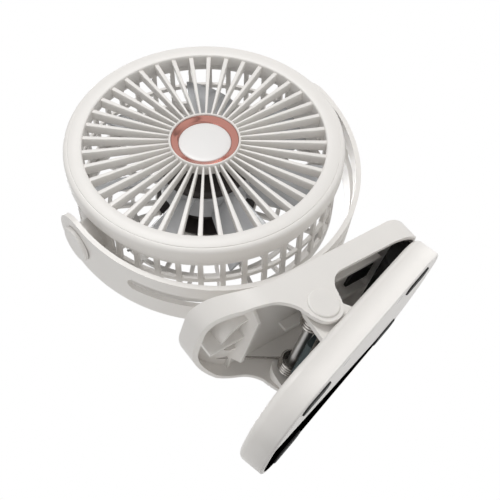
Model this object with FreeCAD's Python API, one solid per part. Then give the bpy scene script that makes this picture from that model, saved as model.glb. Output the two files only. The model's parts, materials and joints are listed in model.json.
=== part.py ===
import FreeCAD, Part
import math
import os

V = FreeCAD.Vector
os.makedirs("parts", exist_ok=True)

# Portable clip fan: a round fan head in a U yoke that swivels on a sprung clip.
# Millimetres, +Z up, origin on the surface it stands on, in the middle of the whole fan's plan.
# X runs along the clip from the handle to the tips, and the yoke leans with the upper jaw.

# Middle of the whole fan's plan, from the middle of the base
PLAN_X = 25.43
PLAN_Y = -1.43

# Stance of the moving bodies at rest
JAW_TILT = 14.0          # upper jaw's slope down towards its tip, degrees
SWIVEL_REST = -12.0      # yoke turned about its swivel axis, degrees
HEAD_TILT = 6.1          # head tipped back in the yoke, degrees

# Clearances
RUN_FIT = 0.05           # radial, pin in bore
FACE_GAP = 0.3           # between flat faces of bodies that move apart
SEAT = 0.2               # round a cover in its recess

# Base, which is the lower jaw
BASE_LEN = 169.0
BASE_W = 75.0
BASE_CORNER = 33.0
BASE_H = 16.0            # height of the shell alone
BASE_WALL = 2.4
FOOT_PROUD = 0.8
COVER_T = 2.0
HINGE_X = -13.8
HINGE_Z = 28.3
LUG_Y = 28.2             # inner face of each lug
LUG_T = 3.6
LUG_R = 9.5
LUG_FOOT = 15.0          # half-length of a lug at the base
BASE_EDGE = 4.0          # rounding of the top edge
BASE_SOLE = 1.2          # rounding of the bottom edge

# Feet on the bottom cover
FOOT_L = 24.0
FOOT_W = 9.0
FOOT_SPACING_X = 104.0
FOOT_SPACING_Y = 52.0
FOOT_SINK = 1.2
SCREW_SPACING_X = 56.0
SCREW_SPACING_Y = 57.0

# Upper jaw, in its own frame: origin on the hinge axis, z square to its top
JAW_TIP = 93.0
JAW_END = -52.0
JAW_W = 74.0
JAW_TIP_CORNER = 22.0
JAW_END_CORNER = 30.0
JAW_TOP = 24.2
JAW_WALL = 2.6
SKIRT_H = 12.5
HANDLE_RISE_X = -17.0    # where the top starts to rise towards the handle
HANDLE_TOP = 40.7
RIB_X = -26.0            # cross rib under the handle
RIB_T = 2.0
RIB_SIDE_Z = 20.8        # its foot over the spring arms
RIB_LOW_Z = 14.0         # its foot in the middle
RIB_FLAT = 24.0          # half-width between the spring arms
RIB_KEEL = 19.0
BOWL_R = 15.0            # round rib behind it
PIN_R = 3.0
CAP_R = 8.9
CAP_PROUD = 1.2
CAP_PLUG_R = 5.0

# Torsion springs round the hinge pin
WIRE_R = 0.8
COIL_R = 6.3
COIL_TURNS = 4
COIL_PITCH = 2.1
COIL_Y = 22.5            # middle of each coil
UPPER_ARM_RISE = 25.5    # slope of the upper arm towards the handle, degrees
LOWER_ARM_DROP = 6.5     # slope of the lower arm towards the base, degrees
ARM_LEN = 44.0
LOWER_ARM_LEN = 36.0
HOOK_BEND = 33.0         # degrees, up to the handle's underside
HOOK_R = 1.6             # length of wire that the bend takes up, each way
ARM_HOOK = 2.6

# Swivel between the upper jaw and the yoke
SWIVEL_X = 28.1          # along the upper jaw, from the hinge
SWIVEL_BOSS_R = 17.0
SWIVEL_BOSS_H = 5.35
SWIVEL_STUD_R = 3.0
SWIVEL_HEAD_R = 7.0
SWIVEL_HEAD_T = 2.2
SWIVEL_WASHER_R = 15.0
SWIVEL_WASHER_T = 1.0
NUT_R = 6.0
NUT_T = 4.0

# Yoke, an oval band
YOKE_SIDE_GAP = 5.1      # head's rim to the band's inside, at the pivots
YOKE_DEEP_GAP = 9.1      # the same at the swivel
YOKE_T = 2.9
YOKE_W = 36.0
SLOT_W = 9.6
SLOT_SHIFT = 2.4         # slot's middle, towards the front rail
SLOT_FROM = 24.0         # degrees below the pivot
SLOT_TO = 74.0
PIVOT_CAP_R = 11.0
PIVOT_CAP_T = 2.6
PIVOT_PIN_R = 4.0
PIVOT_BOSS_R = 10.0
PIVOT_WASHER_R = 9.0
PIVOT_WASHER_T = 0.9

# Head, in its own frame: origin on the pivot axis, z along the fan's axis to the front
FACE_Z = 29.0
RIM_R = 82.5
RIM_BAND = 11.1          # width of the rim's face
RIM_H = 11.0
RIM_WALL = 3.0
RIM_EDGE = 2.6
RIM_LAP = 2.9            # step from the rim in to the side wall
HOUSING_WALL = 2.4
BACK_Z = -24.0
WINDOW_COUNT = 40
WINDOW_W = 9.2
WINDOW_H = 13.0
WINDOW_TOP = 12.0
WINDOW_STEP = 16.0       # from row to row
WINDOW_ROWS = 2
SLAT_COUNT = 40
SLAT_PHASE = 6.65        # degrees, angle of the first slat
SLAT_W_HUB = 1.2
SLAT_W_RIM = 3.0
SLAT_H = 6.0
SLAT_DROP = 1.4          # slats below the rim's face
HUB_RING_R = 20.0
HUB_WALL = 1.3
HUB_DEPTH = 8.0
TRIM_DROP = 1.25
TRIM_T = 1.0
CAP_DISC_R = 15.5
CAP_DROP = 3.2
CAP_DISC_T = 2.4
BACK_T = 2.6
BACK_BARS = 24
BACK_BAR_W = 2.4
BACK_HUB_R = 32.0
BACK_RING_SHARES = (0.3, 0.6)   # rings between the hub and the edge
BACK_RING_W = 2.4

# Motor and blades
MOTOR_R = 20.0
MOTOR_Z = -8.0           # front of the stator's can
MOTOR_FLANGE_R = 31.0    # dark plate that the can stands on
MOTOR_FLANGE_T = 1.2
SHAFT_R = 1.5
BEARING_R = 4.0
BEARING_W = 3.0
HUB_CUP_R = 27.0
HUB_CUP_WALL = 2.0
HUB_CUP_Z0 = -10.0
HUB_CUP_Z1 = 9.0
SLEEVE_T = 1.6
BLADE_COUNT = 7
BLADE_GAP = 1.4          # blade tips inside the grille's opening
BLADE_T = 1.6
BLADE_PITCH_HUB = 42.0
BLADE_PITCH_TIP = 28.0
BLADE_CHORD_HUB = 22.0
BLADE_CHORD_TIP = 34.0
LOCK_NUT_R = 5.0
LOCK_NUT_T = 4.0

# Control parts in the rear hub
POD_R = 29.0
POD_DEPTH = 10.0
POD_WALL = 1.8
BUTTON_R = 7.0
BUTTON_PROUD = 1.2
BUTTON_GAP = 0.25
BUTTON_FLANGE = 1.2
BUTTON_LIP = 1.6
BUTTON_TRAVEL = 1.0
BOARD_T = 1.6
BOARD_R = 24.0
SOCKET_W = 9.0
SOCKET_H = 3.3
SOCKET_DEPTH = 7.0
SOCKET_WALL = 0.4
SCREW_R = 1.5
SCREW_HEAD_R = 2.8
SCREW_HEAD_T = 1.6
SCREW_LEN = 8.0
MOTOR_SCREWS = 4
MOTOR_SCREW_INSET = 5.0

# Pads, cell and small parts of the base
PAD_L = 24.0
PAD_W = 50.0
PAD_H = 8.0
PAD_T = 2.4
PAD_X = 60.0
GROOVE_W = 1.2
GROOVE_DEPTH = 1.4
GROOVE_STEP = 6.0
GRIP_L = 18.0            # grip strip under the upper jaw
GRIP_W = 22.0
GRIP_T = 2.0
THROAT_L = 22.0
THROAT_W = 30.0
THROAT_H = 7.5
CELL_L = 74.0
CELL_W = 46.0
CELL_T = 8.0

# Derived places
BASE_Z0 = FOOT_PROUD
BASE_TOP = BASE_Z0 + BASE_H
JAW_HALF = JAW_W / 2
BASE_HALF = BASE_W / 2
GRILLE_R = RIM_R - RIM_BAND
HOUSING_R = RIM_R - RIM_LAP
YOKE_A = RIM_R + YOKE_SIDE_GAP
YOKE_B = RIM_R + YOKE_DEEP_GAP
BLADE_R = GRILLE_R - BLADE_GAP
EAR_R = HINGE_Z - BASE_TOP - FACE_GAP        # ears turn clear of the base's top
LUG_OUT = LUG_Y + LUG_T
EAR_IN = LUG_OUT + FACE_GAP
BOSS_TOP = JAW_TOP + SWIVEL_BOSS_H
WASHER_TOP = BOSS_TOP + FACE_GAP + SWIVEL_WASHER_T
PIVOT_Z = WASHER_TOP + YOKE_B + YOKE_T       # pivot axis above the hinge, in the jaw's frame
YOKE_OUT = YOKE_A + YOKE_T
REACH = 1.5 * YOKE_OUT       # length of cuts that run right through
POD_Z0 = BACK_Z - BACK_T - POD_DEPTH

UPPER_ARM_AT = math.radians(90.0 - UPPER_ARM_RISE)
LOWER_ARM_AT = math.radians(90.0 - LOWER_ARM_DROP - JAW_TILT)

AX = V(1, 0, 0)
AY = V(0, 1, 0)
AZ = V(0, 0, 1)


def turn(axis, degrees, at=V(0, 0, 0)):
    return FreeCAD.Placement(V(0, 0, 0), FreeCAD.Rotation(axis, degrees), at)


def shift(x, y, z):
    return FreeCAD.Placement(V(x, y, z), FreeCAD.Rotation())


BASE_FRAME = shift(-PLAN_X, -PLAN_Y, 0)
JAW_FRAME = BASE_FRAME.multiply(shift(HINGE_X, 0, HINGE_Z)).multiply(turn(AY, JAW_TILT))
YOKE_FRAME = JAW_FRAME.multiply(shift(SWIVEL_X, 0, PIVOT_Z)).multiply(turn(AZ, SWIVEL_REST))
HEAD_FRAME = YOKE_FRAME.multiply(turn(AX, 90.0 - HEAD_TILT))


def save(name, shape, frame):
    placed = shape.copy()
    placed.Placement = frame.multiply(placed.Placement)
    placed.exportStep("parts/" + name + ".step")
    print(name, len(placed.Solids), round(placed.Volume, 1), placed.isValid())


def rod(radius, start, end):
    return Part.makeCylinder(radius, (end - start).Length, start, end - start)


def tube(outer, inner, z0, z1):
    whole = rod(outer, V(0, 0, z0), V(0, 0, z1))
    return whole.cut(rod(inner, V(0, 0, z0 - 1), V(0, 0, z1 + 1)))


def box(x0, x1, y0, y1, z0, z1):
    return Part.makeBox(x1 - x0, y1 - y0, z1 - z0, V(x0, y0, z0))


def revolved(points):
    """A ring turned about Z from (radius, z) points."""
    outline = [V(r, 0, z) for r, z in points]
    face = Part.Face(Part.makePolygon(outline + outline[:1]))
    return face.revolve(V(0, 0, 0), AZ, 360)


def around(shape, count, phase=0.0):
    copies = []
    for k in range(count):
        copy = shape.copy()
        copy.rotate(V(0, 0, 0), AZ, phase + 360.0 * k / count)
        copies.append(copy)
    return copies


def rounded_plan(x0, x1, half, left_corner, right_corner, inset=0.0):
    """A wire in the XY plane: straight sides with the two ends' corners rounded."""
    a, b, w = x0 + inset, x1 - inset, half - inset
    ra, rb = left_corner - inset, right_corner - inset
    q = math.sqrt(0.5)
    sides = [
        Part.LineSegment(V(a + ra, -w, 0), V(b - rb, -w, 0)),
        Part.Arc(V(b - rb, -w, 0), V(b - rb + rb * q, -w + rb - rb * q, 0), V(b, -w + rb, 0)),
        Part.LineSegment(V(b, -w + rb, 0), V(b, w - rb, 0)),
        Part.Arc(V(b, w - rb, 0), V(b - rb + rb * q, w - rb + rb * q, 0), V(b - rb, w, 0)),
        Part.LineSegment(V(b - rb, w, 0), V(a + ra, w, 0)),
        Part.Arc(V(a + ra, w, 0), V(a + ra - ra * q, w - ra + ra * q, 0), V(a, w - ra, 0)),
        Part.LineSegment(V(a, w - ra, 0), V(a, -w + ra, 0)),
        Part.Arc(V(a, -w + ra, 0), V(a + ra - ra * q, -w + ra - ra * q, 0), V(a + ra, -w, 0)),
    ]
    return Part.Wire([side.toShape() for side in sides])


def prism(wire, z0, z1):
    face = Part.Face(wire)
    face.translate(V(0, 0, z0))
    return face.extrude(V(0, 0, z1 - z0))


def edges_at_height(shape, z):
    found = []
    for edge in shape.Edges:
        box_of = edge.BoundBox
        if abs(box_of.ZMin - z) < 1e-4 and abs(box_of.ZMax - z) < 1e-4:
            found.append(edge)
    return found


# Base shell, with the two hinge lugs
def base_plan(inset):
    half = BASE_LEN / 2
    return rounded_plan(-half, half, BASE_HALF, BASE_CORNER, BASE_CORNER, inset)


def base_lug(side):
    """A plate that stands on the base and rounds over the hinge pin."""
    y0 = LUG_Y if side > 0 else -LUG_OUT
    drop = BASE_TOP - BASE_WALL / 2
    reach = math.acos(LUG_R / math.hypot(LUG_FOOT, HINGE_Z - drop))
    lean = math.atan2(HINGE_Z - drop, LUG_FOOT)
    angle = reach - lean
    tx, tz = LUG_R * math.cos(angle), LUG_R * math.sin(angle)
    right = V(HINGE_X + tx, y0, HINGE_Z + tz)
    left = V(HINGE_X - tx, y0, HINGE_Z + tz)
    foot_r = V(HINGE_X + LUG_FOOT, y0, drop)
    foot_l = V(HINGE_X - LUG_FOOT, y0, drop)
    top = V(HINGE_X, y0, HINGE_Z + LUG_R)
    wire = Part.Wire([
        Part.makeLine(foot_l, foot_r), Part.makeLine(foot_r, right),
        Part.Arc(right, top, left).toShape(), Part.makeLine(left, foot_l)])
    return Part.Face(wire).extrude(V(0, LUG_T, 0))


def base_shell():
    outer = prism(base_plan(0), BASE_Z0, BASE_TOP)
    outer = outer.makeFillet(BASE_EDGE, edges_at_height(outer, BASE_TOP))
    outer = outer.makeFillet(BASE_SOLE, edges_at_height(outer, BASE_Z0))
    inner = prism(base_plan(BASE_WALL), BASE_Z0 - 1, BASE_TOP - BASE_WALL)
    shell = outer.cut(inner)
    lip = prism(base_plan(BASE_WALL - 0.2), BASE_Z0 + COVER_T, BASE_Z0 + COVER_T + 2.0)
    lip = lip.cut(prism(base_plan(BASE_WALL + 1.6), BASE_Z0, BASE_TOP))
    posts = [screw_post(x, y) for x, y in cover_screw_places()]
    shell = shell.multiFuse([lip, base_lug(1), base_lug(-1)] + posts)
    bore = rod(PIN_R + RUN_FIT, V(HINGE_X, -BASE_W, HINGE_Z), V(HINGE_X, BASE_W, HINGE_Z))
    cuts = [bore] + [rod(SCREW_R, V(x, y, BASE_Z0), V(x, y, BASE_Z0 + COVER_T + SCREW_LEN))
                     for x, y in cover_screw_places()]
    return shell.cut(Part.makeCompound(cuts)).removeSplitter()


def cover_screw_places():
    x, y = SCREW_SPACING_X / 2, SCREW_SPACING_Y / 2
    return [(sx * x, sy * y) for sx in (-1, 1) for sy in (-1, 1)]


def screw_post(x, y):
    return rod(SCREW_R + 2.0, V(x, y, BASE_Z0 + COVER_T), V(x, y, BASE_TOP - BASE_WALL / 2))


def foot_places():
    middle = HINGE_X + 11.0
    return [(middle + sx * FOOT_SPACING_X / 2, sy * FOOT_SPACING_Y / 2)
            for sx in (-1, 1) for sy in (-1, 1)]


def foot_wire(x, y, grow=0.0):
    half = FOOT_L / 2 + grow
    r = FOOT_W / 2 + grow
    wire = rounded_plan(-half, half, r, r - 0.01, r - 0.01)
    wire.translate(V(x, y, 0))
    return wire


def base_cover():
    plate = prism(base_plan(BASE_WALL + SEAT), BASE_Z0, BASE_Z0 + COVER_T)
    cuts = [prism(foot_wire(x, y), BASE_Z0 - 1, BASE_Z0 + FOOT_SINK) for x, y in foot_places()]
    for x, y in cover_screw_places():
        cuts.append(rod(SCREW_R + 0.1, V(x, y, BASE_Z0 - 1), V(x, y, BASE_Z0 + COVER_T + 1)))
        cuts.append(rod(SCREW_HEAD_R + 0.1, V(x, y, BASE_Z0 - 1), V(x, y, BASE_Z0 + SCREW_HEAD_T / 2)))
    return plate.cut(Part.makeCompound(cuts))


def rubber_feet():
    return Part.makeCompound([prism(foot_wire(x, y), 0.0, BASE_Z0 + FOOT_SINK)
                              for x, y in foot_places()])


def cover_screws():
    made = []
    for x, y in cover_screw_places():
        head = rod(SCREW_HEAD_R, V(x, y, BASE_Z0), V(x, y, BASE_Z0 + SCREW_HEAD_T / 2))
        shank = rod(SCREW_R, V(x, y, BASE_Z0), V(x, y, BASE_Z0 + SCREW_LEN))
        made.append(head.fuse(shank))
    return Part.makeCompound(made)


def arched(length, width, height, thick, x, z):
    """A cushion with a flat foot and an arched back, along X."""
    half = length / 2
    wire = Part.Wire([
        Part.makeLine(V(x - half, 0, z), V(x + half, 0, z)),
        Part.makeLine(V(x + half, 0, z), V(x + half, 0, z + thick)),
        Part.Arc(V(x + half, 0, z + thick), V(x, 0, z + height), V(x - half, 0, z + thick)).toShape(),
        Part.makeLine(V(x - half, 0, z + thick), V(x - half, 0, z))])
    solid = Part.Face(wire).extrude(V(0, width, 0))
    solid.translate(V(0, -width / 2, 0))
    return solid


def base_pad():
    pad = arched(PAD_L, PAD_W, PAD_H, PAD_T, PAD_X, BASE_TOP)
    half, floor = GROOVE_W / 2, BASE_TOP + PAD_H - GROOVE_DEPTH
    middles = [GROOVE_STEP * k for k in range(-3, 4)]
    grooves = [box(PAD_X - PAD_L, PAD_X + PAD_L, y - half, y + half, floor, floor + PAD_H) for y in middles]
    return pad.cut(Part.makeCompound(grooves))


def throat_pad():
    block = box(HINGE_X - THROAT_L / 2, HINGE_X + THROAT_L / 2, -THROAT_W / 2, THROAT_W / 2,
                BASE_TOP, BASE_TOP + THROAT_H)
    corners = [e for e in block.Edges if abs(e.BoundBox.YLength - THROAT_W) < 1e-4
               and e.BoundBox.ZMax > BASE_TOP + 1]
    return block.makeFillet(2.5, corners)


def battery_cell():
    z = BASE_TOP - BASE_WALL - CELL_T
    cell = box(-CELL_L / 2, CELL_L / 2, -CELL_W / 2, CELL_W / 2, z, BASE_TOP - BASE_WALL)
    return cell.makeFillet(1.5, cell.Edges)


# Upper jaw
def jaw_top_curve(inset):
    """The side view's outline points: handle, flat middle and falling tip."""
    z = JAW_TOP - inset
    rise = HANDLE_RISE_X
    return (V(JAW_END - 8, 0, HANDLE_TOP + 5.8 - inset), V(rise - 20, 0, z + 6.6), V(rise - 10, 0, z + 2.0),
            V(rise, 0, z), V(JAW_TIP - 26, 0, z), V(JAW_TIP - 12, 0, z - 1.2),
            V(JAW_TIP + 2, 0, z - 7.0 - inset * 0.4))


def jaw_side(inset, low):
    """Side-view prism under the jaw's top line, down to the height low."""
    a, b, bend, c, d, e, f = jaw_top_curve(inset)
    wire = Part.Wire([
        Part.makeLine(a, b),
        Part.Arc(b, bend, c).toShape(),
        Part.makeLine(c, d),
        Part.Arc(d, e, f).toShape(),
        Part.makeLine(f, V(f.x, 0, low)),
        Part.makeLine(V(f.x, 0, low), V(a.x, 0, low)),
        Part.makeLine(V(a.x, 0, low), a)])
    solid = Part.Face(wire).extrude(V(0, JAW_W + 20, 0))
    solid.translate(V(0, -JAW_W / 2 - 10, 0))
    return solid


def over_base(x):
    """Height in the jaw's frame, at x, that clears the base's top."""
    tilt = math.radians(JAW_TILT)
    return (x * math.sin(tilt) - (HINGE_Z - BASE_TOP - FACE_GAP)) / math.cos(tilt)


def jaw_windows():
    """What is cut from the side walls: the handle's and the throat's windows."""
    z = JAW_TOP - SKIRT_H
    tip = V(JAW_TIP + 5, 0, over_base(JAW_TIP + 5))
    heel = V(JAW_TIP - 10, 0, over_base(JAW_TIP - 10))
    neck = EAR_R + 1.4       # half-width of the ears' neck
    waist = EAR_R + 0.4
    low = EAR_R * math.sqrt(0.5)
    right = Part.Wire([
        Part.makeLine(heel, V(JAW_TIP - 26, 0, z - 0.6)),
        Part.makeLine(V(JAW_TIP - 26, 0, z - 0.6), V(23.0, 0, z)),
        Part.Arc(V(23.0, 0, z), V(17.0, 0, z - 2.4), V(neck, 0, z - 8.0)).toShape(),
        Part.Arc(V(neck, 0, z - 8.0), V(waist, 0, 0.0), V(low, 0, -low)).toShape(),
        Part.makeLine(V(low, 0, -low), V(low, 0, -30)),
        Part.makeLine(V(low, 0, -30), V(tip.x, 0, -30)),
        Part.makeLine(V(tip.x, 0, -30), tip),
        Part.makeLine(tip, heel)])
    a, b, bend, c, d, e, f = jaw_top_curve(0)
    left = Part.Wire([
        Part.makeLine(V(a.x, 0, a.z - SKIRT_H), V(b.x, 0, b.z - SKIRT_H)),
        Part.makeLine(V(b.x, 0, b.z - SKIRT_H), V(-23.0, 0, z + 1.6)),
        Part.Arc(V(-23.0, 0, z + 1.6), V(-17.2, 0, z - 2.0), V(-neck, 0, z - 8.0)).toShape(),
        Part.Arc(V(-neck, 0, z - 8.0), V(-waist, 0, 0.0), V(-low, 0, -low)).toShape(),
        Part.makeLine(V(-low, 0, -low), V(-low, 0, -30)),
        Part.makeLine(V(-low, 0, -30), V(a.x, 0, -30)),
        Part.makeLine(V(a.x, 0, -30), V(a.x, 0, a.z - SKIRT_H))])
    made = []
    for wire in (left, right):
        solid = Part.Face(wire).extrude(V(0, JAW_W + 20, 0))
        solid.translate(V(0, -JAW_W / 2 - 10, 0))
        made.append(solid)
    return made


def ear_below():
    """The round lower end of both ears, as one rod across the jaw."""
    return rod(EAR_R, V(0, -JAW_HALF, 0), V(0, JAW_HALF, 0))


def jaw_plan(inset):
    return rounded_plan(JAW_END, JAW_TIP, JAW_HALF, JAW_END_CORNER, JAW_TIP_CORNER, inset)


def handle_rib():
    """A cross rib with a slanted foot, and the bowl-shaped rib in front of it."""
    half = RIB_T / 2
    far = JAW_HALF
    cross = box(RIB_X - half, RIB_X + half, 1 - far, far - 1, 0.0, HANDLE_TOP)
    rise = [(far, 0), (far, RIB_SIDE_Z), (RIB_FLAT, RIB_SIDE_Z), (RIB_KEEL, RIB_LOW_Z)]
    outline = [V(0, y, z) for y, z in rise] + [V(0, -y, z) for y, z in reversed(rise)]
    slope = Part.makePolygon(outline + outline[:1])
    notch = Part.Face(slope).extrude(V(5 * RIB_T, 0, 0))
    notch.translate(V(RIB_X - 2.5 * RIB_T, 0, 0))
    bowl = tube(BOWL_R, BOWL_R - RIB_T, RIB_LOW_Z, JAW_W)
    bowl.translate(V(RIB_X, 0, 0))
    bowl = bowl.common(box(RIB_X - 2 * BOWL_R, RIB_X, -far, far, RIB_SIDE_Z, JAW_W))
    keel = box(JAW_END + 2, RIB_X, -half, half, RIB_SIDE_Z - RIB_T, JAW_W)
    return [cross.cut(notch), bowl, keel]


def jaw_shell():
    outer = prism(jaw_plan(0), -EAR_R, 60).common(jaw_side(0, -EAR_R))
    inner = prism(jaw_plan(JAW_WALL), -EAR_R - 1, 60).common(jaw_side(JAW_WALL, -EAR_R - 1))
    ribs = [rib.common(jaw_side(JAW_WALL / 2, -EAR_R)).common(prism(jaw_plan(1), -EAR_R, 60))
            for rib in handle_rib()]
    shell = outer.cut(inner)
    shell = shell.cut(Part.makeCompound(jaw_windows()))
    below = box(-EAR_R - 9, EAR_R + 9, -JAW_W, JAW_W, -EAR_R - 2, -1e-3)
    shell = shell.cut(below.cut(ear_below()))
    pads = []
    for side in (1, -1):
        y0, y1 = sorted((side * EAR_IN, side * (JAW_HALF - JAW_WALL / 2)))
        pads.append(rod(EAR_R - 2.0, V(0, y0, 0), V(0, y1, 0)))
    boss = rod(SWIVEL_BOSS_R, V(SWIVEL_X, 0, JAW_TOP - JAW_WALL / 2), V(SWIVEL_X, 0, BOSS_TOP))
    under = rod(NUT_R + 3.0, V(SWIVEL_X, 0, JAW_TOP - JAW_WALL - 1.5), V(SWIVEL_X, 0, JAW_TOP - 0.5))
    spine = [box(6.0, JAW_TIP - 22, y - 1, y + 1, JAW_TOP - JAW_WALL - 6, JAW_TOP - 1) for y in (-14, 14)]
    shell = shell.multiFuse(pads + ribs + [boss, under] + spine)
    cuts = [rod(PIN_R, V(0, -JAW_W, 0), V(0, JAW_W, 0)),
            rod(SWIVEL_STUD_R + RUN_FIT, V(SWIVEL_X, 0, 0), V(SWIVEL_X, 0, BOSS_TOP + 5))]
    for side in (1, -1):
        cuts.append(rod(CAP_PLUG_R, V(0, side * (JAW_HALF - 2.0), 0), V(0, side * (JAW_HALF + 5), 0)))
    cuts.append(rod(NUT_R + 1.0, V(SWIVEL_X, 0, 0), V(SWIVEL_X, 0, JAW_TOP - JAW_WALL - 1.5)))
    return shell.cut(Part.makeCompound(cuts)).removeSplitter()


def hinge_pin():
    half = JAW_HALF - 2.0
    return rod(PIN_R, V(0, -half, 0), V(0, half, 0))


def hinge_caps():
    made = []
    for side in (1, -1):
        face = JAW_HALF * side
        cap = rod(CAP_R, V(0, face, 0), V(0, face + side * CAP_PROUD, 0))
        rim = [e for e in cap.Edges if abs(e.BoundBox.YMin - (face + side * CAP_PROUD)) < 1e-4
               and abs(e.BoundBox.YMax - (face + side * CAP_PROUD)) < 1e-4]
        cap = cap.makeFillet(0.6, rim)
        plug = rod(CAP_PLUG_R, V(0, face - side * 2.0, 0), V(0, face, 0))
        made.append(cap.fuse(plug))
    return Part.makeCompound(made)


def jaw_pad():
    """A thin grip strip under the top, over the lower pad."""
    z, end = JAW_TOP - JAW_WALL, JAW_TIP - GRIP_L
    return box(end - GRIP_L, end, -GRIP_W / 2, GRIP_W / 2, z - GRIP_T, z)


# Torsion springs
def biarc(p0, t0, p1, t1):
    """Two arcs that leave p0 along t0 and reach p1 along t1."""
    v = p1 - p0
    t = t0 + t1
    vt = v.dot(t)
    k = 2.0 * (1.0 - t0.dot(t1))
    d = (-vt + math.sqrt(vt * vt + k * v.dot(v))) / k
    joint = (p0 + t0 * d + p1 - t1 * d) * 0.5
    return [arc_from(p0, p0 + t0 * d, joint), arc_from(joint, p1 - t1 * d, p1)]


def arc_from(start, corner, end):
    middle = (start + end) * 0.5
    half = (end - start).Length / 2
    rise = (corner - middle).Length
    sag = half * math.tan(math.atan2(rise, half) / 2)
    return Part.Arc(start, middle + (corner - middle) * (sag / rise), end)


def helix_point(turned, y0, side):
    a = UPPER_ARM_AT - turned
    return V(COIL_R * math.cos(a), y0 - side * COIL_PITCH * turned / (2 * math.pi), COIL_R * math.sin(a))


def helix_tangent(turned, side):
    a = UPPER_ARM_AT - turned
    lead = side * COIL_PITCH / (2 * math.pi)
    return V(COIL_R * math.sin(a), -lead, -COIL_R * math.cos(a)).normalize()


def spring_edges(side):
    """One wire: hooked arm beside the ear, close coil wound inwards round the pin, lower arm on the base."""
    total = 2 * math.pi * COIL_TURNS + UPPER_ARM_AT + LOWER_ARM_AT
    y0 = side * (COIL_Y + COIL_PITCH * COIL_TURNS / 2)
    steps = 4 * COIL_TURNS + 2
    turned = [total * k / steps for k in range(steps + 1)]
    points = [helix_point(a, y0, side) for a in turned]
    tangents = [helix_tangent(a, side) for a in turned]
    for end in (0, -1):      # the arms leave square to the pin
        tangents[end] = V(tangents[end].x, 0, tangents[end].z).normalize()
    elbow = points[0] - tangents[0] * ARM_LEN
    reach = elbow - points[0]
    hook_way = FreeCAD.Rotation(AY, HOOK_BEND).multVec(reach).normalize()
    into = (elbow - points[0]).normalize()
    before = elbow - into * HOOK_R
    after = elbow + hook_way * HOOK_R
    edges = [Part.makeLine(after + hook_way * ARM_HOOK, after), arc_from(after, elbow, before).toShape(),
             Part.makeLine(before, points[0])]
    for k in range(steps):
        for arc in biarc(points[k], tangents[k], points[k + 1], tangents[k + 1]):
            edges.append(arc.toShape())
    edges.append(Part.makeLine(points[-1], points[-1] + tangents[-1] * LOWER_ARM_LEN))
    return edges, after + hook_way * ARM_HOOK, hook_way


def spring_solid(side):
    edges, start, way = spring_edges(side)
    ring = Part.Wire([Part.Circle(start, way, WIRE_R).toShape()])
    solid = Part.Wire(edges).makePipeShell([ring], True, False)
    print("spring", side, "least gap", round(self_gap(edges), 2))
    return solid


def self_gap(edges):
    """Least distance between turns, measured on points along the wire."""
    path = Part.Wire(edges)
    points = []
    for edge in path.Edges:
        points += edge.discretize(Number=9)[:-1]
    length = [0.0]
    for a, b in zip(points, points[1:]):
        length.append(length[-1] + (b - a).Length)
    least = 1e9
    apart = math.pi * COIL_R
    for i in range(0, len(points), 2):
        for j in range(i + 1, len(points)):
            if length[j] - length[i] > apart:
                least = min(least, (points[j] - points[i]).Length - 2 * WIRE_R)
    return least


# Yoke, in its own frame: origin on the pivot axis, z along the swivel axis
def half_oval(a, b, top):
    """Side outline of the band: half an ellipse below the pivots, straight above."""
    ellipse = Part.Ellipse(V(0, 0, 0), max(a, b), min(a, b))
    arc = Part.ArcOfEllipse(ellipse, -math.pi / 2, math.pi / 2)
    lower = arc.toShape()
    lower.rotate(V(0, 0, 0), AX, 90)
    lower.rotate(V(0, 0, 0), AY, 90)
    ends = [lower.Vertexes[0].Point, lower.Vertexes[-1].Point]
    ends.sort(key=lambda point: point.x)
    left, right = ends
    wire = Part.Wire([lower, Part.makeLine(right, V(right.x, 0, top)),
                      Part.makeLine(V(right.x, 0, top), V(left.x, 0, top)),
                      Part.makeLine(V(left.x, 0, top), left)])
    return wire


def oval_prism(a, b, top, width):
    solid = Part.Face(half_oval(a, b, top)).extrude(V(0, width, 0))
    solid.translate(V(0, -width / 2, 0))
    return solid


def yoke_slot(side):
    """A window along one flank of the band, with round ends."""
    r = SLOT_W / 2
    def reach(degrees):
        a = math.radians(degrees)
        x, z = (YOKE_A + YOKE_T / 2) * math.cos(a), (YOKE_B + YOKE_T / 2) * math.sin(a)
        return V(side * x, -SLOT_SHIFT, -z)
    outer = oval_prism(YOKE_OUT + 8, YOKE_B + YOKE_T + 8, 1.0, SLOT_W)
    inner = oval_prism(YOKE_A - 8, YOKE_B - 8, 2.0, SLOT_W + 2)
    band = outer.cut(inner)
    band.translate(V(0, -SLOT_SHIFT, 0))
    start, end = reach(SLOT_FROM + 3.0), reach(SLOT_TO - 3.0)
    far = 140.0
    a0, a1 = math.radians(SLOT_FROM + 3.0), math.radians(SLOT_TO - 3.0)
    wedge = Part.Face(Part.makePolygon([
        V(0, 0, 0), V(side * far * math.cos(a0), 0, -far * math.sin(a0)),
        V(side * far * math.cos((a0 + a1) / 2) * 1.2, 0, -far * math.sin((a0 + a1) / 2) * 1.2),
        V(side * far * math.cos(a1), 0, -far * math.sin(a1)), V(0, 0, 0)])).extrude(V(0, YOKE_W, 0))
    wedge.translate(V(0, -YOKE_W / 2, 0))
    cut = band.common(wedge)
    ends = []
    for place in (start, end):
        direction = V(place.x, 0, place.z).normalize()
        ends.append(rod(r, place - direction * 9, place + direction * 9))
    return cut.multiFuse(ends)


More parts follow.
